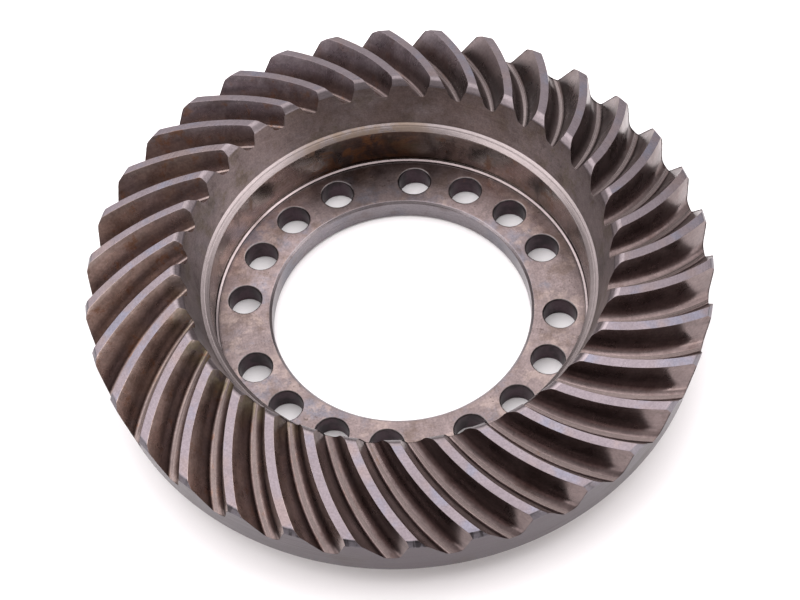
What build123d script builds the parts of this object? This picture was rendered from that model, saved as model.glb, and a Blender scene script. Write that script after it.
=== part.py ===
from build123d import *
import math
import os

# Spiral bevel ring gear, one steel forging machined all over, in millimetres.
# +Z runs from the mounting back face towards the teeth.

# Flange and bore
bore_r = 57.5
bore_chamfer = 1.2
flange_thick = 11.0
bolt_circle_r = 70.0
bolt_hole_r = 7.3
bolt_hole_chamfer = 0.3
bolt_angles = (15.0, 35.0, 55.0, 75.0)

# Recess in front of the flange, with a seat step, a small lip and a relief groove at its foot
seat_r = 81.0
seat_step = 1.0
recess_r = 82.25
relief_depth = 0.8
relief_height = 1.1
lip_height = 0.45
lip_inner = 0.1
lip_outer = 0.2

# Mouth of the recess, turned as two chamfer bands
mouth_inner_z = 32.0
mouth_mid = (84.4, 33.6)
mouth_outer = (85.9, 34.4)

# Pitch, face and root cones, each given by its slope from the horizontal and its apex height
teeth = 34
pitch_slope = 17.93
pitch_apex_z = 81.0
face_slope = 15.0
face_apex_z = 81.55
root_slope = 20.2
root_apex_z = 80.6

# Ends of the teeth
toe_low = (91.6, 53.5)
toe_high_r = 94.5
heel_high_r = 132.5
heel_low = (133.9, 43.7)
toe_low_round = 2.6
toe_high_round = 2.2
heel_high_round = 1.2
heel_low_round = 0.8

# Rim below the teeth
rim_low = (130.8, 18.7)
rim_chamfer = 1.2
rim_chamfer_width = 1.1
back_face_r = 113.0

# Tooth form: circular-arc trace, left-hand spiral
cutter_r = 108.1
cutter_centre = 106.7
trace_angle = 3.83
top_land = 3.43
flank_angle = 21.5
flank_crown = 0.18
flank_overrun = 3.0
left_fillet = 1.2
right_fillet = 3.6
root_shift_toe = -0.6
root_shift_heel = 0.1
toe_cone = 95.8
heel_cone = 141.0
overrun = 8.0
stations = 8

cos_p = math.cos(math.radians(pitch_slope))
sin_p = math.sin(math.radians(pitch_slope))


def face_z(r):
    """Height of the face cone at radius r."""
    return face_apex_z - r * math.tan(math.radians(face_slope))


def cone_offset(cone, slope, apex_z):
    """Distance from the pitch cone to another cone, square to the pitch cone."""
    t = math.tan(math.radians(slope))
    return (apex_z - pitch_apex_z + cone * (sin_p - t * cos_p)) / (cos_p + t * sin_p)


def spiral(cone):
    """Spiral angle of the arc trace at a cone distance, in radians."""
    return math.asin((cone**2 + cutter_r**2 - cutter_centre**2) / (2 * cone * cutter_r))


def polar(cone):
    """Polar angle of the middle of a tooth gap at a cone distance, in radians."""
    swing = math.acos((cone**2 + cutter_centre**2 - cutter_r**2) / (2 * cone * cutter_centre))
    return math.radians(trace_angle) - swing / cos_p


def gap_plane(cone):
    """Plane square to the tooth trace, x across the gap and y out of the pitch cone."""
    psi = spiral(cone)
    theta = polar(cone)
    outward = Vector(math.cos(theta), math.sin(theta), 0)
    along = outward * cos_p - Vector(0, 0, sin_p)
    around = Vector(-math.sin(theta), math.cos(theta), 0)
    origin = outward * (cone * cos_p) + Vector(0, 0, pitch_apex_z - cone * sin_p)
    across = around * math.cos(psi) - along * math.sin(psi)
    trace = along * math.cos(psi) + around * math.sin(psi)
    return Plane(origin=origin, x_dir=across, z_dir=trace)


def flank_point(top, bottom, bulge):
    """Middle point of a crowned flank between its top and bottom."""
    mid = (top + bottom) * 0.5
    normal = (top - bottom).rotate(Axis.Z, 90).normalized()
    return mid + normal * bulge


toe_high = (toe_high_r, face_z(toe_high_r))
heel_high = (heel_high_r, face_z(heel_high_r))
floor_z = flange_thick + seat_step
blank_profile = [
    (bore_r + bore_chamfer, 0),
    (bore_r, bore_chamfer),
    (bore_r, flange_thick - bore_chamfer),
    (bore_r + bore_chamfer, flange_thick),
    (seat_r, flange_thick),
    (seat_r, floor_z),
    (recess_r - lip_inner, floor_z + lip_height),
    (recess_r + lip_outer, floor_z),
    (recess_r + relief_depth, floor_z),
    (recess_r + relief_depth, floor_z + relief_height),
    (recess_r, floor_z + relief_height + relief_depth),
    (recess_r, mouth_inner_z),
    mouth_mid,
    mouth_outer,
    toe_low,
    toe_high,
    heel_high,
    heel_low,
    rim_low,
    (rim_low[0] - rim_chamfer_width, rim_low[1] - rim_chamfer),
    (back_face_r, 0),
]

# One tooth gap, swept along the spiral through sections square to the trace
with BuildPart() as gap:
    first = toe_cone - overrun
    last = heel_cone + overrun
    for index in range(stations):
        cone = first + (last - first) * index / (stations - 1)
        face_y = cone_offset(cone, face_slope, face_apex_z)
        root_y = cone_offset(cone, root_slope, root_apex_z)
        face_r = cone * cos_p + face_y * sin_p
        span = 2 * math.pi * face_r * math.cos(spiral(cone)) / teeth - top_land
        share = (cone - toe_cone) / (heel_cone - toe_cone)
        shift = root_shift_toe + (root_shift_heel - root_shift_toe) * share
        drop = (face_y - root_y) * math.tan(math.radians(flank_angle))
        foot_left = Vector(shift - span / 2 + drop, root_y)
        foot_right = Vector(shift + span / 2 - drop, root_y)
        rise = 1 + flank_overrun / (face_y - root_y)
        head_left = foot_left + (Vector(-span / 2, face_y) - foot_left) * rise
        head_right = foot_right + (Vector(span / 2, face_y) - foot_right) * rise
        with BuildSketch(gap_plane(cone)) as gap_section:
            with BuildLine():
                ThreePointArc(head_left, flank_point(head_left, foot_left, -flank_crown), foot_left)
                Line(foot_left, foot_right)
                ThreePointArc(
                    foot_right, flank_point(head_right, foot_right, flank_crown), head_right
                )
                Line(head_right, head_left)
            make_face()
            fillet(gap_section.vertices().group_by(Axis.Y)[0].sort_by(Axis.X)[0], left_fillet)
            fillet(gap_section.vertices().group_by(Axis.Y)[0].sort_by(Axis.X)[-1], right_fillet)
    loft()

with BuildPart() as ring_gear:
    # Turned blank, with the four corners of the tooth ends rounded
    with BuildSketch(Plane.XZ) as blank_half:
        with BuildLine():
            Polyline(*blank_profile, close=True)
        make_face()
        for corner, radius in (
            (toe_low, toe_low_round),
            (toe_high, toe_high_round),
            (heel_high, heel_high_round),
            (heel_low, heel_low_round),
        ):
            fillet(blank_half.vertices().sort_by_distance((*corner, 0))[0], radius)
    revolve(axis=Axis.Z)

    # Bolt holes in four groups of four, chamfered at both ends
    for quarter in (0, 90, 180, 270):
        for angle in bolt_angles:
            turn = math.radians(quarter + angle)
            spot = (bolt_circle_r * math.cos(turn), bolt_circle_r * math.sin(turn), 0)
            with Locations(spot):
                Cylinder(
                    bolt_hole_r,
                    flange_thick,
                    align=(Align.CENTER, Align.CENTER, Align.MIN),
                    mode=Mode.SUBTRACT,
                )
                Cone(
                    bolt_hole_r + bolt_hole_chamfer,
                    bolt_hole_r,
                    bolt_hole_chamfer,
                    align=(Align.CENTER, Align.CENTER, Align.MIN),
                    mode=Mode.SUBTRACT,
                )
            with Locations((spot[0], spot[1], flange_thick)):
                Cone(
                    bolt_hole_r,
                    bolt_hole_r + bolt_hole_chamfer,
                    bolt_hole_chamfer,
                    align=(Align.CENTER, Align.CENTER, Align.MAX),
                    mode=Mode.SUBTRACT,
                )

    # Tooth gaps
    with PolarLocations(0, teeth):
        add(gap.part, mode=Mode.SUBTRACT)

ring_gear.part.label = "ring_gear"

os.makedirs("parts", exist_ok=True)
export_step(ring_gear.part, "parts/ring_gear.step")
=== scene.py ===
"""Spiral bevel ring gear: the finished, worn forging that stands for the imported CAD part."""

import math

import bmesh
import bpy
import numpy as np
from mathutils import Matrix, Vector


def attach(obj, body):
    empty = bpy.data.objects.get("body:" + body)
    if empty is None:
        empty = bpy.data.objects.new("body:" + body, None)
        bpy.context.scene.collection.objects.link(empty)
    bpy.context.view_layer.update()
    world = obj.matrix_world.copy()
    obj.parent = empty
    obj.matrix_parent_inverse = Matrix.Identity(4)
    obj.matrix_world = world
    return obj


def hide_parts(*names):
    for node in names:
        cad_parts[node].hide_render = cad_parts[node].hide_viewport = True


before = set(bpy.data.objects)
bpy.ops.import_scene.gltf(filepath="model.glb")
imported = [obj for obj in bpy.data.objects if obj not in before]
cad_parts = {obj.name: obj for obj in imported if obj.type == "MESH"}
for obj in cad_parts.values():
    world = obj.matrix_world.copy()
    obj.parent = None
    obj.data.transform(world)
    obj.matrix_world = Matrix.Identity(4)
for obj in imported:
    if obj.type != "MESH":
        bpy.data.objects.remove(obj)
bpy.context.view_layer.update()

MM = 0.001

# Turned blank: radii and heights above the back face, in millimetres
bore_r = 57.5
bore_chamfer = 1.2
flange_thick = 11.0
bolt_circle_r = 70.0
bolt_hole_r = 7.3
bolt_hole_chamfer = 0.45
bolt_angles = (15.0, 35.0, 55.0, 75.0)
bolt_cell = 20.0
bolt_web = 10.0
hole_margin = 0.8
seat_r = 81.0
seat_step = 1.0
recess_r = 82.25
relief_depth = 0.8
relief_height = 1.1
lip_height = 0.45
lip_inner = 0.1
lip_outer = 0.2
mouth_inner_z = 32.0
mouth_mid = (84.4, 33.6)
mouth_outer = (85.9, 34.4)
groove_width = 0.35
groove_depth = 0.25
rim_low = (130.8, 18.7)
rim_chamfer = 1.2
rim_chamfer_width = 1.1
back_face_r = 113.0

# Pitch, face and root cones: slope from the horizontal and height of the apex
teeth = 34
pitch_slope = math.radians(17.93)
pitch_apex_z = 81.0
face_slope = math.radians(15.0)
face_apex_z = 81.55
root_slope = math.radians(20.2)
root_apex_z = 80.6

# Ends of the teeth
toe_low = (91.6, 53.5)
toe_high_r = 94.5
heel_high_r = 132.5
heel_low = (133.9, 43.7)
toe_low_round = 2.6
toe_high_round = 2.2
heel_high_round = 1.2
heel_low_round = 0.8

# Tooth form: circular-arc trace, left-hand spiral
cutter_r = 108.1
cutter_centre = 106.7
trace_angle = math.radians(3.83)
top_land = 3.43
flank_angle = math.radians(21.5)
flank_crown = 0.18
flank_overrun = 3.0
left_fillet = 1.2
right_fillet = 3.6
root_shift_toe = -0.6
root_shift_heel = 0.1
toe_cone = 95.8
heel_cone = 141.0

# Mesh: rows along a tooth, columns across each part of it and segments of a turned ring; width of the
# edge breaks, the even margin round a tooth end, and the step of the lay coordinates between gaps
tooth_rows = 19
land_columns = 4
fillet_columns = 4
root_columns = 4
flange_rows = 12
ring_segments = 288
turned_break = 0.2
tooth_break = 0.08
edge_margin = 0.45
gap_spacing = 150.0

cos_p = math.cos(pitch_slope)
sin_p = math.sin(pitch_slope)
tooth_turn = 2 * math.pi / teeth


def face_z(r):
    """Height of the face cone at radius r."""
    return face_apex_z - r * math.tan(face_slope)


toe_high = (toe_high_r, face_z(toe_high_r))
heel_high = (heel_high_r, face_z(heel_high_r))


# ---------------------------------------------------------------- tooth gap

def cone_offset(cone, slope, apex_z):
    """Distance from the pitch cone to another cone, square to the pitch cone."""
    t = math.tan(slope)
    return (apex_z - pitch_apex_z + cone * (sin_p - t * cos_p)) / (cos_p + t * sin_p)


def spiral(cone):
    """Spiral angle of the trace at a cone distance."""
    return np.arcsin((cone**2 + cutter_r**2 - cutter_centre**2) / (2 * cone * cutter_r))


def gap_angle(cone):
    """Polar angle of the middle of the first gap at a cone distance."""
    swing = np.arccos((cone**2 + cutter_centre**2 - cutter_r**2) / (2 * cone * cutter_centre))
    return trace_angle - swing / cos_p


def place(cone, x, y):
    """World point x across the gap and y out of the pitch cone, in the section square to the trace."""
    psi = spiral(cone)
    theta = gap_angle(cone)
    out = cone * cos_p + y * sin_p - x * np.sin(psi) * cos_p
    side = x * np.cos(psi)
    z = pitch_apex_z - cone * sin_p + y * cos_p + x * np.sin(psi) * sin_p
    east = out * np.cos(theta) - side * np.sin(theta)
    north = out * np.sin(theta) + side * np.cos(theta)
    return np.stack([east, north, z], axis=-1)


def flank_ends(cone, side):
    """Head and foot of one flank in its section; the head stands clear of the face cone."""
    face_y = cone_offset(cone, face_slope, face_apex_z)
    root_y = cone_offset(cone, root_slope, root_apex_z)
    face_r = cone * cos_p + face_y * sin_p
    span = 2 * math.pi * face_r * np.cos(spiral(cone)) / teeth - top_land
    share = (cone - toe_cone) / (heel_cone - toe_cone)
    shift = root_shift_toe + (root_shift_heel - root_shift_toe) * share
    drop = (face_y - root_y) * math.tan(flank_angle)
    foot_x = shift + side * (span / 2 - drop)
    rise = 1 + flank_overrun / (face_y - root_y)
    head_x = foot_x + (side * span / 2 - foot_x) * rise
    head_y = root_y + (face_y - root_y) * rise
    return head_x, head_y, foot_x, root_y


def flank_point(cone, w, side):
    """Point of a crowned flank in its section, from head (w = 0) to foot (w = 1)."""
    head_x, head_y, foot_x, root_y = flank_ends(cone, side)
    dx = head_x - foot_x
    dy = head_y - root_y
    bulge = 4 * flank_crown * w * (1 - w) / np.hypot(dx, dy)
    return head_x - dx * w - side * bulge * dy, head_y - dy * w + side * bulge * dx


def solve(f, low, high, steps=42):
    """Root of an increasing function, by halving."""
    for _ in range(steps):
        mid = (low + high) / 2
        over = f(mid) > 0
        low, high = np.where(over, low, mid), np.where(over, mid, high)
    return (low + high) / 2


def land_edge(cone, side):
    """Where a flank meets the face cone, as w."""
    def below(w):
        """How far the flank at w lies under the face cone."""
        p = place(cone, *flank_point(cone, w, side))
        return face_z(np.hypot(p[..., 0], p[..., 1])) - p[..., 2]
    return solve(below, np.zeros_like(cone), np.full_like(cone, 0.7), 30)


def gap_point(cone, t, side):
    """Point of half a gap: t is 0-1 down the flank, 1-2 round the fillet, 2-3 to the root's middle."""
    cone, t = np.broadcast_arrays(np.asarray(cone, float), np.asarray(t, float))
    head_x, head_y, foot_x, root_y = flank_ends(cone, side)
    length = np.hypot(head_x - foot_x, head_y - root_y)
    tilt = np.arctan2(np.abs(head_x - foot_x), head_y - root_y) - 4 * flank_crown / length
    turn = math.pi / 2 - tilt
    fillet = right_fillet if side > 0 else left_fillet
    reach = fillet * np.tan(turn / 2)
    top = land_edge(cone, side)
    w = top + (1 - reach / length - top) * np.clip(t, 0, 1)
    x, y = flank_point(cone, w, side)

    k = np.clip(t - 1, 0, 1)
    centre_x = foot_x - side * reach
    miss_x = x - centre_x - side * fillet * np.sin(turn)
    miss_y = y - root_y - fillet * (1 - np.cos(turn))
    arc_x = centre_x + side * fillet * np.sin(turn * (1 - k)) + miss_x * (1 - k)
    arc_y = root_y + fillet * (1 - np.cos(turn * (1 - k))) + miss_y * (1 - k)
    x = np.where(t > 1, arc_x, x)
    y = np.where(t > 1, arc_y, y)

    other_x = flank_ends(cone, -side)[2]
    share = left_fillet / (left_fillet + right_fillet)
    share = 1 - share if side > 0 else share
    meeting = foot_x + (other_x - foot_x) * share
    x = np.where(t > 2, centre_x + (meeting - centre_x) * (t - 2), x)
    return place(cone, x, y)


# ---------------------------------------------------------------- tooth ends

def round_corner(corner, before, after, radius, pieces):
    """Arc points that replace a corner of a meridian."""
    c, a, b = (np.array(q, float) for q in (corner, before, after))
    u = (a - c) / np.linalg.norm(a - c)
    v = (b - c) / np.linalg.norm(b - c)
    half = math.acos(float(u @ v)) / 2
    centre = c + (u + v) / np.linalg.norm(u + v) * radius / math.sin(half)
    start = c + u * radius / math.tan(half) - centre
    end = c + v * radius / math.tan(half) - centre
    first = math.atan2(start[1], start[0])
    sweep = math.atan2(end[1], end[0]) - first
    sweep = (sweep + math.pi) % (2 * math.pi) - math.pi
    angles = [first + sweep * i / pieces for i in range(pieces + 1)]
    return [(centre[0] + radius * math.cos(a), centre[1] + radius * math.sin(a)) for a in angles]


class ToothEnd:
    """One end of the teeth: a turned surface from the face cone down to a plain ring.

    Its meridian turns through about a right angle, so a point on it is found by how far it lies
    along the direction halfway round the turn.
    """

    def __init__(self, before, high, low, foot, high_round, low_round, cone, reach):
        self.high_arc = round_corner(high, before, low, high_round, 3)
        self.low_arc = round_corner(low, high, foot, low_round, 2)
        self.meridian = np.array(self.high_arc + self.low_arc + [foot])
        steps = np.diff(self.meridian, axis=0)
        sizes = np.linalg.norm(steps, axis=1)
        forward = steps[0] / sizes[0] + steps[-1] / sizes[-1]
        self.forward = forward / np.linalg.norm(forward)
        self.inward = np.array([self.forward[1], -self.forward[0]])
        self.runs = self.meridian @ self.forward
        self.depths = self.meridian @ self.inward
        self.lengths = np.concatenate([[0], np.cumsum(sizes)])
        self.cone = cone
        self.reach = reach

    def length(self, r, z):
        """Distance down the meridian of the place level with a point."""
        return np.interp(r * self.forward[0] + z * self.forward[1], self.runs, self.lengths)

    def level(self, z):
        """Distance down the meridian at which its last leg reaches a height."""
        return float(np.interp(-z, -self.meridian[-2:, 1], self.lengths[-2:]))

    def place(self, length):
        """Radius and height at a distance down the meridian."""
        r = np.interp(length, self.lengths, self.meridian[:, 0])
        z = np.interp(length, self.lengths, self.meridian[:, 1])
        return r, z

    def cut(self, t, side):
        """Cone distance at which the profile lines t cross this end."""
        t = np.asarray(t, float)

        def past(cone):
            """How far the profile at a cone distance lies past this end."""
            p = gap_point(cone, t, side)
            meridian_point = np.stack([np.hypot(p[..., 0], p[..., 1]), p[..., 2]], axis=-1)
            level_depth = np.interp(meridian_point @ self.forward, self.runs, self.depths)
            return level_depth - meridian_point @ self.inward
        inner = np.full_like(t, self.cone - self.reach)
        outer = np.full_like(t, self.cone + self.reach)
        return solve(past, inner, outer)

    def corner_lines(self, side):
        """Profile lines that cross this end exactly on the rings of its rounded corners."""
        t = np.linspace(0, 1, 200)
        p = gap_point(self.cut(t, side), t, side)
        lengths = self.length(np.hypot(p[:, 0], p[:, 1]), p[:, 2])
        rings = self.high_arc[1:] + self.low_arc
        return [float(np.interp(self.length(*q), lengths, t)) for q in rings]


toe_before = (toe_high_r + 5, face_z(toe_high_r + 5))
heel_before = (heel_high_r - 5, face_z(heel_high_r - 5))
toe_end = ToothEnd(
    toe_before, toe_high, toe_low, mouth_outer, toe_high_round, toe_low_round, toe_cone, 9.0
)
heel_end = ToothEnd(
    heel_before, heel_high, heel_low, rim_low, heel_high_round, heel_low_round, heel_cone, 12.0
)


def half_columns(side):
    """Profile lines of half a gap, with lines on the corner rings of both tooth ends."""
    heel = heel_end.corner_lines(side)
    toe = toe_end.corner_lines(side)
    t = sorted([0.0] + heel + toe)
    rows = t.index(heel[-1]), t.index(toe[-1])
    t += list(np.linspace(toe[-1], 1, 6)[1:])
    t += list(np.linspace(1, 2, fillet_columns + 1)[1:])
    t += list(np.linspace(2, 3, root_columns // 2 + 1)[1:])
    return np.array(t), rows


# ---------------------------------------------------------------- shell

class Shell:
    """Points and faces of the closed mesh, each face with the name of its region."""

    def __init__(self):
        self.points = []
        self.faces = []
        self.regions = []
        self.lays = []
        self.count = 0

    def add(self, points, faces, region, lay=None):
        """Points and faces of one patch, with lay coordinates if it has them."""
        points = np.asarray(points).reshape(-1, 3)
        self.points.append(points)
        self.lays.append(np.zeros((len(points), 2)) if lay is None else lay.reshape(-1, 2))
        self.faces += [tuple(i + self.count for i in f) for f in faces]
        self.regions += [region] * len(faces)
        self.count += len(points)

    def grid(self, points, region, lay=None):
        """Quads between the rows and columns of an array of points."""
        m, n = points.shape[:2]
        faces = [
            (i * n + j, i * n + j + 1, (i + 1) * n + j + 1, (i + 1) * n + j)
            for i in range(m - 1)
            for j in range(n - 1)
        ]
        self.add(points, faces, region, lay)

    def zip(self, ring_a, ring_b, region):
        """Triangles between two closed rings with different counts of points."""
        angle_a = ring_angles(ring_a)
        nearest = np.abs((ring_angles(ring_b) - angle_a[0] + math.pi) % (2 * math.pi) - math.pi)
        ring_b = np.roll(ring_b, -int(np.argmin(nearest[:-1])), axis=0)
        angle_b = ring_angles(ring_b)
        angle_b += 2 * math.pi * round((angle_a[0] - angle_b[0]) / (2 * math.pi))
        count_a, count_b = len(ring_a), len(ring_b)
        faces = []
        i = j = 0
        while i < count_a or j < count_b:
            here_a = i % count_a
            here_b = count_a + j % count_b
            if j == count_b or (i < count_a and angle_a[i + 1] <= angle_b[j + 1]):
                i += 1
                faces.append((here_a, i % count_a, here_b))
            else:
                j += 1
                faces.append((here_a, count_a + j % count_b, here_b))
        self.add(np.concatenate([ring_a, ring_b]), faces, region)


def ring_angles(points):
    """Rising polar angles of a closed ring, with the first again at the end, one turn on."""
    angles = np.unwrap(np.arctan2(points[:, 1], points[:, 0]))
    return np.append(angles, angles[0] + 2 * math.pi)


def turned(points, angle):
    """Points turned about the axis."""
    c, s = math.cos(angle), math.sin(angle)
    return points @ np.array([[c, s, 0], [-s, c, 0], [0, 0, 1]])


def polar(points):
    """Polar angle, radius and height of points, with the angle unwrapped along the last axis."""
    theta = np.unwrap(np.arctan2(points[..., 1], points[..., 0]), axis=-1)
    return theta, np.hypot(points[..., 0], points[..., 1]), points[..., 2]


def cartesian(theta, r, z):
    """Points from polar angle, radius and height."""
    theta, r, z = np.broadcast_arrays(theta, r, z)
    return np.stack([r * np.cos(theta), r * np.sin(theta), z], axis=-1)


def ring(r, z, count=ring_segments):
    """Closed ring of points."""
    return cartesian(np.arange(count) * 2 * math.pi / count, r, z)


shell = Shell()


def end_patch(end, edge, foot_z, rows):
    """Surface between the outline of the gaps on a tooth end and a plain ring below it."""
    theta, r, z = polar(edge)
    s = end.length(r, z)
    dx = np.gradient(theta) * r
    ds = np.gradient(s)
    # the outline repeats every pitch, so its two ends share one direction
    dx[0] = dx[-1] = ((theta[1] - theta[0]) + (theta[-1] - theta[-2])) / 2 * r[0]
    ds[0] = ds[-1] = ((s[1] - s[0]) + (s[-1] - s[-2])) / 2
    size = np.hypot(dx, ds)
    off_theta = theta + edge_margin * ds / size / r
    off_s = s - edge_margin * dx / size
    steps = np.hypot(np.diff(theta) * r[:-1], np.diff(s))
    run = np.concatenate([[0], np.cumsum(steps)]) / np.sum(steps)
    foot_theta = run * tooth_turn
    foot_theta += np.mean((theta - foot_theta)[:-1])
    foot_s = end.level(foot_z)
    layers = [edge]
    for k in np.linspace(0, 1, rows):
        row_theta = off_theta + (foot_theta - off_theta) * k
        layers.append(cartesian(row_theta, *end.place(off_s + (foot_s - off_s) * k)))
    return np.array(layers)


left, (heel_row, toe_row) = half_columns(-1)
right, _ = half_columns(1)


def half_grid(t, side):
    """Points of half a gap, rows from toe to heel."""
    first = toe_end.cut(t, side)
    last = heel_end.cut(t, side)
    v = np.linspace(0, 1, tooth_rows + 1)[:, None]
    return gap_point(first + (last - first) * v, t + 0 * v, side)


left_grid = half_grid(left, -1)
right_grid = half_grid(right, 1)[:, ::-1]
gap_grid = np.concatenate([left_grid, right_grid[:, 1:]], axis=1)
n_left = len(left)
root_first = n_left - 1 - root_columns // 2
root_last = n_left - 1 + root_columns // 2

# Top land between this gap and the next
share = np.linspace(0, 1, land_columns + 1)
edge_a = gap_grid[:, -1]
edge_b = turned(gap_grid[:, 0], tooth_turn)
pair_theta, pair_r, _ = polar(np.stack([edge_a, edge_b], axis=1))
land_theta = pair_theta[:, :1] + (pair_theta[:, 1:] - pair_theta[:, :1]) * share
land_r = pair_r[:, :1] + (pair_r[:, 1:] - pair_r[:, :1]) * share
land_grid = cartesian(land_theta, land_r, face_z(land_r))


def facet(end, row, corner_row):
    """Facet at one end of a tooth, from the land down past the rounded corner."""
    a = gap_grid[row, ::-1][: corner_row + 1]
    b = turned(gap_grid[row, : corner_row + 1], tooth_turn)
    theta, r, z = polar(np.stack([a, b], axis=1))
    s = end.length(r, z)
    theta = theta[:, :1] + (theta[:, 1:] - theta[:, :1]) * share
    s = s[:, :1] + (s[:, 1:] - s[:, :1]) * share
    return cartesian(theta, *end.place(s))


toe_facet = facet(toe_end, 0, toe_row)
heel_facet = facet(heel_end, -1, heel_row)


def outline(row, corner_row, facet_grid):
    """Outline of one gap and of the next facet's foot, on a tooth end."""
    gap_part = gap_grid[row, corner_row : gap_grid.shape[1] - corner_row]
    return np.concatenate([gap_part, facet_grid[-1][1:]])


# Lay of the cutter marks: millimetres along and across the gap
along = gap_grid - gap_grid[:1]
along = np.linalg.norm(along, axis=2)
steps = np.linalg.norm(np.diff(gap_grid, axis=1), axis=2)
across = np.concatenate([np.zeros((len(steps), 1)), np.cumsum(steps, axis=1)], axis=1)
across -= across[:, n_left - 1 : n_left]
gap_lay = np.stack([along, across], axis=-1)

# plain rings below the tooth ends, where the surfaces stop following the gaps
front_foot_z = mouth_outer[1] + 3
rim_foot_z = rim_low[1] + 4
toe_patch = end_patch(toe_end, outline(0, toe_row, toe_facet), front_foot_z, 6)
heel_patch = end_patch(heel_end, outline(-1, heel_row, heel_facet), rim_foot_z, 5)

for k in range(teeth):
    turn = k * tooth_turn
    gap = turned(gap_grid, turn)
    lay = gap_lay + (k * gap_spacing, 0)
    shell.grid(gap[:, : root_first + 1], "flank", lay[:, : root_first + 1])
    shell.grid(gap[:, root_first : root_last + 1], "root", lay[:, root_first : root_last + 1])
    shell.grid(gap[:, root_last:], "flank", lay[:, root_last:])
    shell.grid(turned(land_grid, turn), "land")
    shell.grid(turned(toe_facet, turn), "toe_facet")
    shell.grid(turned(heel_facet, turn), "heel_facet")
    shell.grid(turned(toe_patch, turn), "front")
    shell.grid(turned(heel_patch, turn), "rim")


def whole_ring(patch):
    """The lowest row of an end patch, repeated around the gear."""
    return np.concatenate([turned(patch[-1, :-1], k * tooth_turn) for k in range(teeth)])


def turned_band(profile, region):
    """Rings through the points of a meridian."""
    rings = [np.concatenate([q, q[:1]]) for q in (ring(r, z) for r, z in profile)]
    shell.grid(np.array(rings), region)


front_ring = toe_end.place(toe_end.level(mouth_outer[1] + 1.5))
rim_ring = heel_end.place(heel_end.level(rim_low[1] + 2.5))
shell.zip(whole_ring(toe_patch), ring(*front_ring), "front")
shell.zip(whole_ring(heel_patch), ring(*rim_ring), "rim")

floor_z = flange_thick + seat_step
wall_foot = (recess_r, floor_z + relief_height + relief_depth)
wall = [(recess_r, z) for z in np.linspace(mouth_inner_z, wall_foot[1], 7)]
groove_outer = (mouth_mid[0] + groove_width / 2, mouth_mid[1] + groove_width / 4)
groove_inner = (mouth_mid[0] - groove_width / 2, mouth_mid[1] - groove_width / 2)
groove_foot = (mouth_mid[0] + groove_width / 4, mouth_mid[1] - groove_depth)
turned_band([front_ring, mouth_outer], "front")
turned_band([mouth_outer, groove_outer, groove_foot, groove_inner, wall[0]], "mouth")
turned_band(wall, "recess")
turned_band([
    wall_foot,
    (recess_r + relief_depth, floor_z + relief_height),
    (recess_r + relief_depth, floor_z),
    (recess_r + lip_outer, floor_z),
], "recess")
turned_band([
    (recess_r + lip_outer, floor_z),
    (recess_r - lip_inner, floor_z + lip_height),
    (seat_r, floor_z),
    (seat_r, flange_thick),
], "seat")
turned_band([rim_ring, rim_low], "rim")
bevel_top = (rim_low[0] - rim_chamfer_width, rim_low[1] - rim_chamfer)
bevel_middle = ((bevel_top[0] + back_face_r) / 2, bevel_top[1] / 2)
turned_band([rim_low, bevel_top], "rim")
turned_band([bevel_top, bevel_middle, (back_face_r, 0)], "back")
turned_band([(r, 0) for r in np.linspace(back_face_r, seat_r, 5)], "back")
bore_in = bore_r + bore_chamfer
turned_band([(bore_in, flange_thick), (bore_r, flange_thick - bore_chamfer)], "bore_edge")
turned_band(
    [(bore_r, z) for z in np.linspace(flange_thick - bore_chamfer, bore_chamfer, 4)], "bore"
)
turned_band([(bore_r, bore_chamfer), (bore_in, 0)], "bore_edge")


def bolt_cell_grids(centre_angle):
    """Rows of points round one bolt hole, from the hole's rim out to a cell of the flange."""
    steps = round(bolt_cell / 360 * ring_segments)
    half = math.radians(bolt_cell / 2)
    mid = math.radians(centre_angle)
    arc = np.linspace(mid - half, mid + half, steps + 1)
    side = np.linspace(bore_in, seat_r, flange_rows + 1)
    outline_points = np.concatenate([
        cartesian(arc, seat_r, 0.0)[:-1],
        cartesian(arc[-1], side[::-1], 0.0)[:-1],
        cartesian(arc[::-1], bore_in, 0.0)[:-1],
        cartesian(arc[0], side, 0.0)[:-1],
    ])
    outline_points = np.concatenate([outline_points, outline_points[:1]])
    centre = cartesian(mid, bolt_circle_r, 0.0)
    spoke = outline_points - centre
    spoke = spoke / np.linalg.norm(spoke, axis=1)[:, None]

    def circle(r, z):
        """Points round the hole, one on each spoke."""
        return centre + spoke * r + np.array([0, 0, z])

    edge_r = bolt_hole_r + bolt_hole_chamfer
    for z in (flange_thick, 0.0):
        region = "flange" if z else "back"
        near = circle(edge_r + hole_margin, z)
        far = outline_points + np.array([0, 0, z])
        rows = [circle(edge_r, z)] + [near + (far - near) * k for k in (0, 0.3, 0.65, 1)]
        shell.grid(np.array(rows), region)
    top = flange_thick - bolt_hole_chamfer
    shell.grid(np.array([circle(edge_r, flange_thick), circle(bolt_hole_r, top)]), "hole_edge")
    walls = [circle(bolt_hole_r, z) for z in np.linspace(top, bolt_hole_chamfer, 4)]
    shell.grid(np.array(walls), "hole")
    shell.grid(np.array([walls[-1], circle(edge_r, 0.0)]), "hole_edge")


def web_grid(centre_angle, width):
    """Plain sector of the flange between two groups of bolt holes, on both faces."""
    steps = round(width / 360 * ring_segments)
    mid = math.radians(centre_angle)
    half = math.radians(width / 2)
    arc = np.linspace(mid - half, mid + half, steps + 1)
    side = np.linspace(bore_in, seat_r, flange_rows + 1)
    for z in (flange_thick, 0.0):
        shell.grid(cartesian(arc[None, :], side[:, None], z), "flange" if z else "back")


for quarter in (0, 90, 180, 270):
    for angle in bolt_angles:
        bolt_cell_grids(quarter + angle)
    web_grid(quarter, bolt_web)

# ---------------------------------------------------------------- finishes

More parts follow.
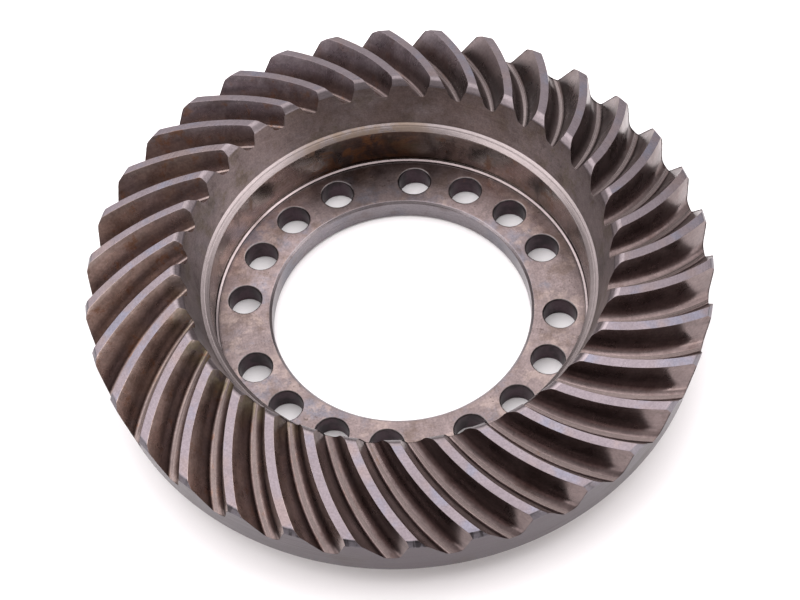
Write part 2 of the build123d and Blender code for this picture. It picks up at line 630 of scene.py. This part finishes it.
class Finish:
    """One procedural steel finish: nodes that build its colour, roughness and height step by step."""

    def __init__(self, name, tone, roughness):
        self.material = bpy.data.materials.new(name)
        self.material.use_nodes = True
        self.tree = self.material.node_tree
        self.bsdf = self.tree.nodes["Principled BSDF"]
        self.bsdf.inputs["Metallic"].default_value = 1.0
        self.colour = tone
        self.roughness = roughness
        self.height = 0.0
        self.offset = 17.0 * len(finishes)
        finishes[name] = self
        where = self.node("ShaderNodeTexCoord").outputs["Object"]
        self.space = self.vector("MULTIPLY", where, (1 / MM, 1 / MM, 1 / MM))
        x, y, z = self.node("ShaderNodeSeparateXYZ", Vector=self.space).outputs
        squares = self.math("ADD", self.math("MULTIPLY", x, x), self.math("MULTIPLY", y, y))
        self.radius = self.math("SQRT", squares)
        self.cosine = self.math("DIVIDE", x, self.radius)
        self.sine = self.math("DIVIDE", y, self.radius)
        self.z = z

    def node(self, kind, **inputs):
        """New node with the named inputs fed."""
        made = self.tree.nodes.new(kind)
        for key, value in inputs.items():
            self.feed(made.inputs[key], value)
        return made

    def feed(self, socket, value):
        """Link a socket, or set it to a number or a colour."""
        if isinstance(value, bpy.types.NodeSocket):
            self.tree.links.new(value, socket)
        elif isinstance(value, tuple) and len(value) == 3 and socket.type == "RGBA":
            socket.default_value = (*value, 1.0)
        else:
            socket.default_value = value

    def math(self, operation, a, b=0.0):
        """Result of one arithmetic node."""
        made = self.node("ShaderNodeMath")
        made.operation = operation
        self.feed(made.inputs[0], a)
        self.feed(made.inputs[1], b)
        return made.outputs[0]

    def vector(self, operation, a, b):
        """Result of one vector arithmetic node."""
        made = self.node("ShaderNodeVectorMath")
        made.operation = operation
        self.feed(made.inputs[0], a)
        self.feed(made.inputs[1], b)
        return made.outputs[0]

    def join(self, x, y, z):
        """Vector from three parts."""
        return self.node("ShaderNodeCombineXYZ", X=x, Y=y, Z=z).outputs[0]

    def turning(self, around, across):
        """Coordinates drawn out along the turning lines: repeats per radian and per mm across."""
        lane = self.math("MULTIPLY", self.math("ADD", self.radius, self.z), across)
        return self.join(
            self.math("MULTIPLY", self.cosine, around), self.math("MULTIPLY", self.sine, around), lane
        )

    def lay(self):
        """Millimetres along a tooth gap and across it from the root, different in each gap."""
        made = self.node("ShaderNodeUVMap")
        made.uv_map = lay_map
        return made.outputs["UV"]

    def lengthwise(self, along, across):
        """Coordinates drawn out along a tooth gap."""
        return self.vector("MULTIPLY", self.lay(), (along, across, 1.0))

    def sector(self, degrees, spread):
        """1 in one direction from the axis, falling to 0 at the spread to both sides."""
        angle = math.radians(degrees)
        toward = self.math(
            "ADD",
            self.math("MULTIPLY", self.cosine, math.cos(angle)),
            self.math("MULTIPLY", self.sine, math.sin(angle)),
        )
        return self.window(toward, math.cos(math.radians(spread)), 1.0)

    def fade(self, where, level):
        """Painted light and shade: multiply the colour towards a level where a mask is 1, a painted
        highlight above 1 and painted shade below it.
        """
        value = self.window(where, 0.0, 1.0, 1.0, level)
        self.colour = self.blend(1.0, self.colour, self.join(value, value, value), "MULTIPLY")

    def noise(self, coordinates, scale, detail=3.0, rough=0.55, distortion=0.0):
        """Noise pattern, shifted so that no two are alike."""
        made = self.node(
            "ShaderNodeTexNoise",
            Vector=self.vector("ADD", coordinates, (self.offset, 0.0, self.offset)),
            Scale=scale, Detail=detail, Roughness=rough, Distortion=distortion,
        )
        self.offset += 5.3
        return made.outputs[0]

    def window(self, value, low, high, out_low=0.0, out_high=1.0):
        """Smooth step from one level to another as a value runs from low to high."""
        made = self.node("ShaderNodeMapRange", Value=value)
        made.interpolation_type = "SMOOTHSTEP"
        limits = {"From Min": low, "From Max": high, "To Min": out_low, "To Max": out_high}
        for key, number in limits.items():
            made.inputs[key].default_value = number
        return made.outputs[0]

    def blend(self, share, a, b, kind="MIX"):
        """Mix of two colours."""
        made = self.node("ShaderNodeMix")
        made.data_type = "RGBA"
        made.blend_type = kind
        self.feed(made.inputs[0], share)
        self.feed(made.inputs[6], a)
        self.feed(made.inputs[7], b)
        return made.outputs[2]

    def shade(self, pattern, spread):
        """Lighten and darken the colour by a pattern whose middle is 0.5."""
        self.colour = self.blend(1.0, self.colour, self.grey(pattern, spread), "MULTIPLY")

    def grey(self, pattern, spread):
        """Grey round 1 that follows a pattern, to multiply a colour by."""
        level = self.window(pattern, 0.3, 0.7, 1 - spread, 1 + spread)
        return self.join(level, level, level)

    def stain(self, colour, pattern, low, high, amount, roughen=0.0, where=None):
        """Another colour where a pattern runs between low and high; a stain may also dull the metal."""
        share = self.window(pattern, low, high, 0.0, amount)
        if where is not None:
            share = self.math("MULTIPLY", share, where)
        self.colour = self.blend(share, self.colour, colour)
        if roughen:
            self.roughness = self.math("ADD", self.roughness, self.math("MULTIPLY", share, roughen))

    def dull(self, pattern, spread):
        """Vary the roughness by a pattern whose middle is 0.5."""
        change = self.window(pattern, 0.3, 0.7, -spread, spread)
        self.roughness = self.math("ADD", self.roughness, change)

    def raise_by(self, pattern, depth):
        """Add a pattern, in millimetres, to the height."""
        self.height = self.math("ADD", self.height, self.math("MULTIPLY", pattern, depth))

    def finish(self):
        """Connect the colour, roughness and height, and give the material."""
        self.feed(self.bsdf.inputs["Base Color"], self.colour)
        self.feed(self.bsdf.inputs["Roughness"], self.roughness)
        bump = self.node("ShaderNodeBump", Height=self.height, Distance=MM, Strength=1.0)
        self.feed(self.bsdf.inputs["Normal"], bump.outputs["Normal"])
        return self.material


finishes = {}
lay_map = "lay"

# Tones of the steel, as linear reflectance
# pale serves only as the painted highlight on the roots.
pale = (0.28, 0.24, 0.236)
lilac = (0.164, 0.14, 0.152)
pinkish = (0.138, 0.11, 0.108)
bronze = (0.235, 0.179, 0.152)
brown = (0.12, 0.094, 0.09)
red_brown = (0.08, 0.048, 0.04)
dark_brown = (0.056, 0.04, 0.034)
blue_grey = (0.104, 0.108, 0.132)
olive = (0.112, 0.09, 0.058)
ochre = (0.176, 0.112, 0.048)
rust = (0.19, 0.082, 0.03)
soot = (0.024, 0.021, 0.022)


def land_finish():
    """Turned face cone left on the tooth tops: pale, finely lined, a little blued."""
    f = Finish("land", lilac, 0.36)
    f.stain((0.144, 0.148, 0.188), f.noise(f.space, 0.07, 4.0), 0.5, 0.68, 0.7)
    f.stain((0.188, 0.144, 0.134), f.noise(f.space, 0.05, 3.0), 0.52, 0.7, 0.6)
    # Painted shade by direction round the gear: the tops a little darker in two sectors.
    f.fade(f.sector(70, 110), 0.87)
    f.fade(f.sector(-5, 35), 0.86)
    lines = f.noise(f.turning(5.0, 2.4), 1.0, 2.0)
    f.shade(lines, 0.08)
    f.shade(f.noise(f.space, 1.3, 3.0), 0.12)
    specks = f.noise(f.space, 0.75, 3.0, 0.7)
    f.stain(dark_brown, specks, 0.66, 0.74, 0.55, 0.1)
    f.dull(lines, 0.05)
    f.dull(f.noise(f.space, 0.12, 3.0), 0.05)
    f.raise_by(lines, 0.004)
    f.raise_by(specks, 0.01)
    return f


def flank_finish():
    """Cut tooth sides: dark oiled steel, mottled bronze and rust, with a painted highlight towards the
    tops and painted light and shade by direction round the gear.
    """
    f = Finish("flank", (0.162, 0.126, 0.122), 0.3)
    along, across, _ = f.node("ShaderNodeSeparateXYZ", Vector=f.lay()).outputs
    across = f.math("ABSOLUTE", across)
    # Painted highlight: mask of the upper flank, from its foot up towards the land.
    painted_top_highlight = f.window(across, 4.5, 13.5, 0.08, 1.0)
    # Painted light: flanks lighter on the -X side of the gear, and lighter still near the tops further
    # round.
    f.stain((0.19, 0.152, 0.146), f.sector(168, 72), 0.0, 0.8, 0.8)
    f.stain((0.43, 0.355, 0.33), f.math("MULTIPLY", f.sector(205, 66), painted_top_highlight), 0.08, 0.9, 0.95)
    f.stain(bronze, f.noise(f.space, 0.05, 4.0, 0.6), 0.42, 0.62, 0.6, 0.04, f.sector(165, 90))
    # Painted shade: the lower flanks darker in two directions round the gear.
    painted_foot_shade = f.window(across, 4.0, 12.0, 1.0, 0.0)
    f.fade(f.math("MULTIPLY", f.sector(42, 42), painted_foot_shade), 0.55)
    f.fade(f.math("MULTIPLY", f.sector(222, 55), painted_foot_shade), 0.8)
    # Painted light: upper flanks lighter and greyer on the far (+Y) side; far is this painted-light
    # mask.
    far = f.math("MULTIPLY", f.sector(98, 45), painted_top_highlight)
    f.stain((0.215, 0.184, 0.197), far, 0.0, 0.8, 0.9)
    f.stain(red_brown, f.noise(f.space, 0.06, 5.0, 0.7), 0.52, 0.7, 0.5, 0.06)
    f.stain(rust, f.noise(f.space, 0.13, 5.0, 0.7), 0.54, 0.68, 0.6, 0.12, f.sector(160, 110))
    f.stain(soot, f.noise(f.lengthwise(0.03, 0.16), 1.0, 4.0), 0.52, 0.75, 0.4)
    toe = f.window(f.math("MODULO", along, gap_spacing), 3.0, 9.0, 1.0, 0.0)
    old_oil = f.math("MULTIPLY", toe, f.sector(207, 36))
    f.stain((0.15, 0.125, 0.08), f.noise(f.space, 0.15, 4.0), 0.4, 0.54, 0.75, 0.12, old_oil)
    marks = f.noise(f.lengthwise(0.035, 1.3), 1.0, 3.0)
    f.shade(marks, 0.05)
    f.shade(f.noise(f.space, 0.22, 5.0, 0.7), 0.12)
    f.shade(f.noise(f.space, 0.9, 4.0), 0.12)
    f.dull(f.noise(f.space, 0.09, 3.0), 0.06)
    f.raise_by(marks, 0.004)
    f.raise_by(f.noise(f.space, 0.5, 4.0, 0.7), 0.014)
    return f


def root_finish():
    """Bottom of the gaps: warm, with lengthwise lines; its brightness is a painted highlight on one
    side and painted light and shade by direction.
    """
    f = Finish("root", (0.12, 0.096, 0.091), 0.27)
    marks = f.noise(f.lengthwise(0.03, 2.2), 1.0, 2.0)
    f.stain(brown, f.noise(f.lengthwise(0.05, 0.3), 1.0, 3.0), 0.5, 0.72, 0.5, 0.05)
    f.stain(rust, f.noise(f.space, 0.08, 5.0, 0.7), 0.62, 0.76, 0.5, 0.1)
    # Painted highlight: the roots lightened with the pale tone in one sector, then painted shade and
    # light in two more.
    f.stain(pale, f.sector(60, 75), 0.0, 1.0, 0.8)
    f.fade(f.sector(275, 60), 0.74)
    f.fade(f.sector(235, 45), 1.1)
    f.shade(marks, 0.14)
    f.shade(f.noise(f.space, 1.1, 3.0), 0.1)
    f.dull(marks, 0.05)
    f.raise_by(marks, 0.01)
    return f


def facet_finish(name, tone, smears):
    """Turned chamfers at the ends of the teeth, the heels smeared dark in places."""
    f = Finish(name, tone, 0.38)
    lines = f.noise(f.turning(6.0, 2.8), 1.0, 2.0)
    f.stain(brown, f.noise(f.space, 0.09, 4.0), 0.54, 0.74, 0.6, 0.08)
    f.stain(soot, f.noise(f.turning(45.0, 0.2), 1.0, 3.0), 0.5, 0.6, smears, 0.0, f.sector(258, 50))
    # Painted light and shade by direction round the gear.
    f.fade(f.sector(88, 45), 0.72)
    f.fade(f.sector(265, 32), 0.85)
    f.fade(f.sector(318, 30), 1.25)
    f.shade(lines, 0.07)
    f.shade(f.noise(f.space, 1.2, 3.0), 0.12)
    f.dull(lines, 0.05)
    f.raise_by(lines, 0.006)
    return f


def front_finish():
    """Steep turned cone under the toes: satin, clouded with olive and brown, finely grained."""
    f = Finish("front", (0.182, 0.148, 0.145), 0.4)
    f.stain(olive, f.noise(f.space, 0.07, 5.0, 0.7), 0.5, 0.64, 0.55, 0.05)
    f.stain(dark_brown, f.noise(f.space, 0.11, 5.0, 0.7), 0.54, 0.7, 0.5)
    f.stain(blue_grey, f.noise(f.space, 0.035, 3.0), 0.52, 0.7, 0.25)
    patches = f.noise(f.space, 0.06, 5.0, 0.65)
    f.stain((0.13, 0.094, 0.085), patches, 0.3, 0.55, 0.8, 0.0, f.sector(78, 65))
    # Painted light and shade by direction round the gear.
    f.fade(f.sector(90, 38), 0.74)
    f.fade(f.sector(140, 40), 1.4)
    f.fade(f.sector(200, 45), 0.8)
    lines = f.noise(f.turning(5.0, 1.6), 1.0, 3.0)
    f.shade(lines, 0.06)
    f.shade(f.noise(f.space, 0.3, 4.0, 0.7), 0.1)
    f.shade(f.noise(f.space, 1.3, 4.0, 0.7), 0.16)
    f.dull(f.noise(f.space, 0.1, 3.0), 0.06)
    f.raise_by(lines, 0.008)
    f.raise_by(f.noise(f.space, 0.9, 4.0, 0.7), 0.025)
    return f


def mouth_finish():
    """Bright turned bands round the mouth of the recess."""
    f = Finish("mouth", (0.214, 0.187, 0.185), 0.3)
    lines = f.noise(f.turning(3.0, 4.5), 1.0, 2.0)
    f.stain(brown, f.noise(f.space, 0.06, 5.0, 0.7), 0.6, 0.74, 0.8, 0.15)
    f.stain(ochre, f.noise(f.space, 0.1, 5.0, 0.7), 0.4, 0.6, 0.45, 0.1, f.sector(91, 30))
    # Painted light and shade by direction round the gear.
    f.fade(f.sector(90, 35), 0.85)
    f.fade(f.sector(150, 55), 1.2)
    f.shade(lines, 0.12)
    f.shade(f.noise(f.turning(40.0, 0.5), 1.0, 2.0), 0.05)
    f.dull(lines, 0.05)
    f.raise_by(lines, 0.01)
    return f


def recess_finish():
    """Wall of the recess: oily and stained, with rust and soot running down it."""
    f = Finish("recess", (0.185, 0.15, 0.138), 0.27)
    runs = f.noise(f.turning(9.0, 0.035), 1.0, 4.0, 0.6)
    # Painted light and shade by direction round the gear.
    f.fade(f.sector(140, 42), 2.1)
    f.fade(f.sector(45, 40), 1.3)
    f.fade(f.sector(190, 40), 0.6)
    f.stain(soot, runs, 0.54, 0.72, 0.7, 0.06)
    f.stain(rust, f.noise(f.turning(8.0, 0.06), 1.0, 5.0, 0.65), 0.56, 0.7, 0.6, 0.12)
    dark = f.noise(f.turning(10.0, 0.05), 1.0, 4.0, 0.6)
    f.stain(red_brown, dark, 0.25, 0.42, 0.95, 0.1, f.sector(86, 22))
    orange = f.noise(f.space, 0.09, 5.0, 0.65, 1.2)
    f.stain((0.2, 0.088, 0.038), orange, 0.44, 0.6, 0.75, 0.12, f.sector(94, 24))
    f.stain(olive, f.noise(f.space, 0.07, 4.0), 0.52, 0.72, 0.5)
    # Painted shade in the relief groove at the foot of the wall.
    f.fade(f.window(f.z, 11.5, 14.5, 1.0, 0.0), 0.45)
    lines = f.noise(f.turning(4.0, 2.5), 1.0, 3.0)
    f.shade(lines, 0.14)
    f.shade(f.noise(f.space, 0.8, 4.0), 0.12)
    f.dull(f.noise(f.space, 0.1, 3.0), 0.07)
    f.raise_by(lines, 0.015)
    return f


def seat_finish():
    """Narrow step round the flange: bright, with small slanted tool marks, painted shade at its foot
    and painted light and shade by direction.
    """
    f = Finish("seat", (0.225, 0.191, 0.19), 0.32)
    lines = f.noise(f.turning(4.0, 3.0), 1.0, 2.0)
    nicks = f.noise(f.turning(60.0, 0.8), 1.0, 2.0)
    f.stain(brown, f.noise(f.space, 0.05, 4.0), 0.5, 0.66, 0.75, 0.1)
    # Painted light and shade by direction round the gear.
    f.fade(f.sector(90, 35), 0.8)
    f.fade(f.sector(140, 35), 1.4)
    f.fade(f.sector(190, 35), 0.45)
    # Painted shade at the foot of the step.
    f.fade(f.window(f.z, 11.1, 11.7, 1.0, 0.0), 0.3)
    f.shade(lines, 0.08)
    f.shade(nicks, 0.14)
    f.dull(nicks, 0.05)
    f.raise_by(nicks, 0.03)
    return f


def flange_finish():
    """Bolting face: warm satin steel, blotched blue and brown, with clusters of dark specks."""
    f = Finish("flange", pinkish, 0.34)
    f.stain(blue_grey, f.noise(f.space, 0.05, 5.0, 0.65), 0.5, 0.64, 0.6)
    f.stain((0.092, 0.066, 0.052), f.noise(f.space, 0.07, 5.0, 0.7), 0.5, 0.64, 0.5, 0.05)
    f.stain((0.216, 0.172, 0.156), f.noise(f.space, 0.1, 5.0, 0.65), 0.52, 0.64, 0.6)
    specks = f.noise(f.space, 0.55, 4.0, 0.75)
    clusters = f.window(f.noise(f.space, 0.07, 2.0), 0.48, 0.6)
    f.stain(dark_brown, f.math("MULTIPLY", specks, clusters), 0.55, 0.66, 0.8, 0.12)
    # Painted light and shade by direction round the gear.
    f.fade(f.sector(92, 38), 0.72)
    f.fade(f.sector(140, 38), 1.35)
    f.fade(f.sector(45, 34), 1.15)
    # Painted shade on the flange next to the seat step.
    f.fade(f.window(f.radius, 79.6, 80.9), 0.65)
    rays = f.noise(f.turning(30.0, 0.08), 1.0, 3.0)
    lines = f.noise(f.turning(6.0, 1.8), 1.0, 2.0)
    f.shade(rays, 0.07)
    f.shade(lines, 0.05)
    f.shade(f.noise(f.space, 0.3, 5.0, 0.7), 0.1)
    f.shade(f.noise(f.space, 1.1, 4.0), 0.13)
    f.dull(f.noise(f.space, 0.12, 3.0), 0.07)
    f.raise_by(lines, 0.006)
    f.raise_by(specks, 0.02)
    return f


def bore_finish(name, tone):
    """Centring bore and its chamfers: smooth, cool, finely turned."""
    f = Finish(name, tone, 0.3)
    lines = f.noise(f.turning(4.0, 3.5), 1.0, 2.0)
    f.stain(blue_grey, f.noise(f.space, 0.05, 3.0), 0.5, 0.7, 0.6)
    f.stain(brown, f.noise(f.space, 0.09, 5.0, 0.65), 0.54, 0.7, 0.55, 0.08)
    # Painted light on one side of the bore.
    f.fade(f.sector(135, 35), 1.25)
    f.shade(lines, 0.09)
    f.shade(f.noise(f.space, 1.2, 3.0), 0.1)
    f.dull(lines, 0.04)
    f.raise_by(lines, 0.01)
    return f


def hole_finish(name, tone):
    """Drilled bolt holes and their chamfers, with rings left by the drill; the walls' dark tone, given
    at the call, is painted shade.
    """
    f = Finish(name, tone, 0.4)
    rings = f.noise(f.join(0.0, 0.0, f.z), 2.2, 2.0)
    f.stain(soot, f.noise(f.space, 0.12, 4.0), 0.45, 0.66, 0.75)
    f.stain(rust, f.noise(f.space, 0.15, 4.0, 0.7), 0.64, 0.76, 0.4)
    f.shade(rings, 0.15)
    f.shade(f.noise(f.space, 0.9, 3.0), 0.1)
    f.dull(rings, 0.06)
    f.raise_by(rings, 0.02)
    return f


def rim_finish():
    """Back cone: smooth turned steel, cool grey, darker patches of old oil."""
    f = Finish("rim", (0.062, 0.046, 0.054), 0.34)
    lines = f.noise(f.turning(4.0, 2.0), 1.0, 3.0)
    f.stain(dark_brown, f.noise(f.space, 0.05, 4.0), 0.55, 0.72, 0.5, 0.05)
    f.stain(blue_grey, f.noise(f.space, 0.03, 3.0), 0.5, 0.7, 0.08)
    f.shade(lines, 0.12)
    f.shade(f.noise(f.space, 1.0, 3.0), 0.1)
    f.dull(lines, 0.05)
    f.raise_by(lines, 0.012)
    return f


def back_finish():
    """Back face and bevel: coarser turning, dull oxide and handling stains."""
    f = Finish("back", (0.136, 0.12, 0.116), 0.42)
    lines = f.noise(f.turning(4.0, 1.1), 1.0, 3.0)
    f.stain(brown, f.noise(f.space, 0.04, 5.0, 0.65), 0.5, 0.7, 0.7, 0.08)
    f.stain(rust, f.noise(f.space, 0.05, 5.0, 0.7), 0.63, 0.76, 0.5, 0.15)
    f.shade(lines, 0.14)
    f.shade(f.noise(f.space, 0.9, 4.0), 0.1)
    f.dull(f.noise(f.space, 0.1, 3.0), 0.07)
    f.raise_by(lines, 0.02)
    return f


land_finish()
flank_finish()
root_finish()
facet_finish("toe_facet", (0.188, 0.162, 0.17), 0.0)
facet_finish("heel_facet", (0.126, 0.116, 0.128), 0.8)
front_finish()
mouth_finish()
recess_finish()
seat_finish()
flange_finish()
bore_finish("bore", (0.178, 0.16, 0.17))
bore_finish("bore_edge", (0.216, 0.194, 0.2))
# The hole walls' very dark tone is painted shade inside the holes.
hole_finish("hole", (0.069, 0.045, 0.054))
hole_finish("hole_edge", (0.16, 0.148, 0.148))
rim_finish()
back_finish()

# ---------------------------------------------------------------- mesh

mesh = bpy.data.meshes.new("ring_gear_forging")
mesh.from_pydata((np.concatenate(shell.points) * MM).tolist(), [], shell.faces)
region_names = sorted(set(shell.regions))
mesh.polygons.foreach_set("material_index", [region_names.index(r) for r in shell.regions])
for name in region_names:
    mesh.materials.append(finishes[name].finish())
lay_points = np.concatenate(shell.lays)
corners = np.zeros(len(mesh.loops), dtype=int)
mesh.loops.foreach_get("vertex_index", corners)
mesh.uv_layers.new(name=lay_map).data.foreach_set("uv", lay_points[corners].ravel())

tangent_pairs = (
    {"flank", "root"},
    {"land", "toe_facet"},
    {"land", "heel_facet"},
    {"toe_facet", "front"},
    {"heel_facet", "rim"},
)
shallow = math.radians(6)
steep = math.radians(22)


def edge_width(edge):
    """Width of the break on an edge, or nothing where the surface runs on smoothly."""
    names = {region_names[f.material_index] for f in edge.link_faces}
    bend = edge.calc_face_angle(0)
    joined = len(names) == 1 and names != {"mouth"} or names in tangent_pairs
    if bend < (steep if joined else shallow):
        return 0.0
    if names & {"land", "flank", "root", "toe_facet", "heel_facet"}:
        return tooth_break
    return turned_break


bm = bmesh.new()
bm.from_mesh(mesh)
bmesh.ops.remove_doubles(bm, verts=bm.verts, dist=2e-6)
bmesh.ops.recalc_face_normals(bm, faces=bm.faces)
weights = bm.edges.layers.float.new("bevel_weight_edge")
for edge in bm.edges:
    edge[weights] = edge_width(edge) / turned_break
bm.to_mesh(mesh)
bm.free()
mesh.shade_smooth()
gear = bpy.data.objects.new("ring_gear_forging", mesh)
bpy.context.scene.collection.objects.link(gear)
bevel = gear.modifiers.new("edge_break", "BEVEL")
bevel.width = turned_break * MM
bevel.segments = 2
bevel.limit_method = "WEIGHT"
bevel.use_clamp_overlap = False
normals = gear.modifiers.new("normals", "WEIGHTED_NORMAL")
normals.weight = 100

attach(gear, "root")
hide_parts("ring_gear")

# ---------------------------------------------------------------- studio

floor_half = 3.0
floor_corners = [(x * floor_half, y * floor_half, 0) for x, y in ((-1, -1), (1, -1), (1, 1), (-1, 1))]
floor_mesh = bpy.data.meshes.new("studio_floor")
floor_mesh.from_pydata(floor_corners, [], [(0, 1, 2, 3)])
floor = bpy.data.objects.new("studio_floor", floor_mesh)
bpy.context.scene.collection.objects.link(floor)


def floor_paint():
    """Matt white studio floor with the faintest grain."""
    paint = bpy.data.materials.new("floor_paint")
    paint.use_nodes = True
    tree = paint.node_tree
    grain = tree.nodes.new("ShaderNodeTexNoise")
    grain.inputs["Scale"].default_value = 40.0
    tone = tree.nodes.new("ShaderNodeMapRange")
    tone.inputs["To Min"].default_value = 0.88
    tone.inputs["To Max"].default_value = 0.92
    tree.links.new(grain.outputs[0], tone.inputs["Value"])
    tree.links.new(tone.outputs[0], tree.nodes["Principled BSDF"].inputs["Base Color"])
    tree.nodes["Principled BSDF"].inputs["Roughness"].default_value = 0.9
    tree.nodes["Principled BSDF"].inputs["Specular IOR Level"].default_value = 0.1
    return paint


floor_mesh.materials.append(floor_paint())

# Camera: tilt above the floor, turn about the gear axis and roll, then its distance and shifts in
# bolt circle radii
view_tilt = math.radians(55.891)
view_turn = math.radians(5.5961)
camera_roll = math.radians(-5.2986)
unit = bolt_circle_r * MM
camera_distance = 11.05971
camera_right = -0.008285
camera_up = 0.039421
lens = 78.75
back = Vector((0, -math.cos(view_tilt), math.sin(view_tilt)))
right_axis = Vector((1, 0, 0))
up_axis = back.cross(right_axis)
right_rolled = right_axis * math.cos(camera_roll) + up_axis * math.sin(camera_roll)
up_rolled = up_axis * math.cos(camera_roll) - right_axis * math.sin(camera_roll)
aim = Vector((0, 0, flange_thick * MM))
spin = Matrix.Rotation(-view_turn, 3, "Z")
position = back * camera_distance + right_rolled * camera_right + up_rolled * camera_up
axes = Matrix((spin @ right_rolled, spin @ up_rolled, spin @ back)).transposed()
camera_data = bpy.data.cameras.new("camera")
camera_data.sensor_width = 36.0
camera_data.lens = lens
camera = bpy.data.objects.new("camera", camera_data)
bpy.context.scene.collection.objects.link(camera)
camera.matrix_world = Matrix.Translation(aim + spin @ position * unit) @ axes.to_4x4()
bpy.context.scene.camera = camera


light_aim = Vector((0, 0, 0.03))


def area_light(name, where, size, power, colour):
    """Soft box facing the gear."""
    data = bpy.data.lights.new(name, "AREA")
    data.shape = "RECTANGLE"
    data.size, data.size_y = size
    data.energy = power
    data.color = colour
    obj = bpy.data.objects.new(name, data)
    bpy.context.scene.collection.objects.link(obj)
    obj.location = where
    obj.rotation_euler = (light_aim - Vector(where)).to_track_quat("-Z", "Y").to_euler()


area_light("overhead", (0.0, 0.35, 1.3), (2.4, 2.0), 40, (1.0, 0.97, 0.985))
area_light("left_box", (-1.3, -0.1, 1.0), (1.2, 1.0), 8.75, (1.0, 0.96, 0.97))
area_light("right_box", (1.3, -0.1, 1.0), (1.2, 1.0), 5.6, (1.0, 0.96, 0.97))
area_light("back_box", (-0.2, 1.6, 0.75), (2.4, 0.9), 7.5, (1.0, 0.96, 0.97))
area_light("front_box", (1.2, -0.95, 0.35), (1.3, 0.6), 7.5, (1.0, 0.96, 0.95))
world = bpy.data.worlds.new("studio")
bpy.context.scene.world = world
world.use_nodes = True
world.node_tree.nodes["Background"].inputs["Color"].default_value = (1.0, 0.92, 0.93, 1)
world.node_tree.nodes["Background"].inputs["Strength"].default_value = 0.62
bpy.context.scene.view_settings.view_transform = "Standard"
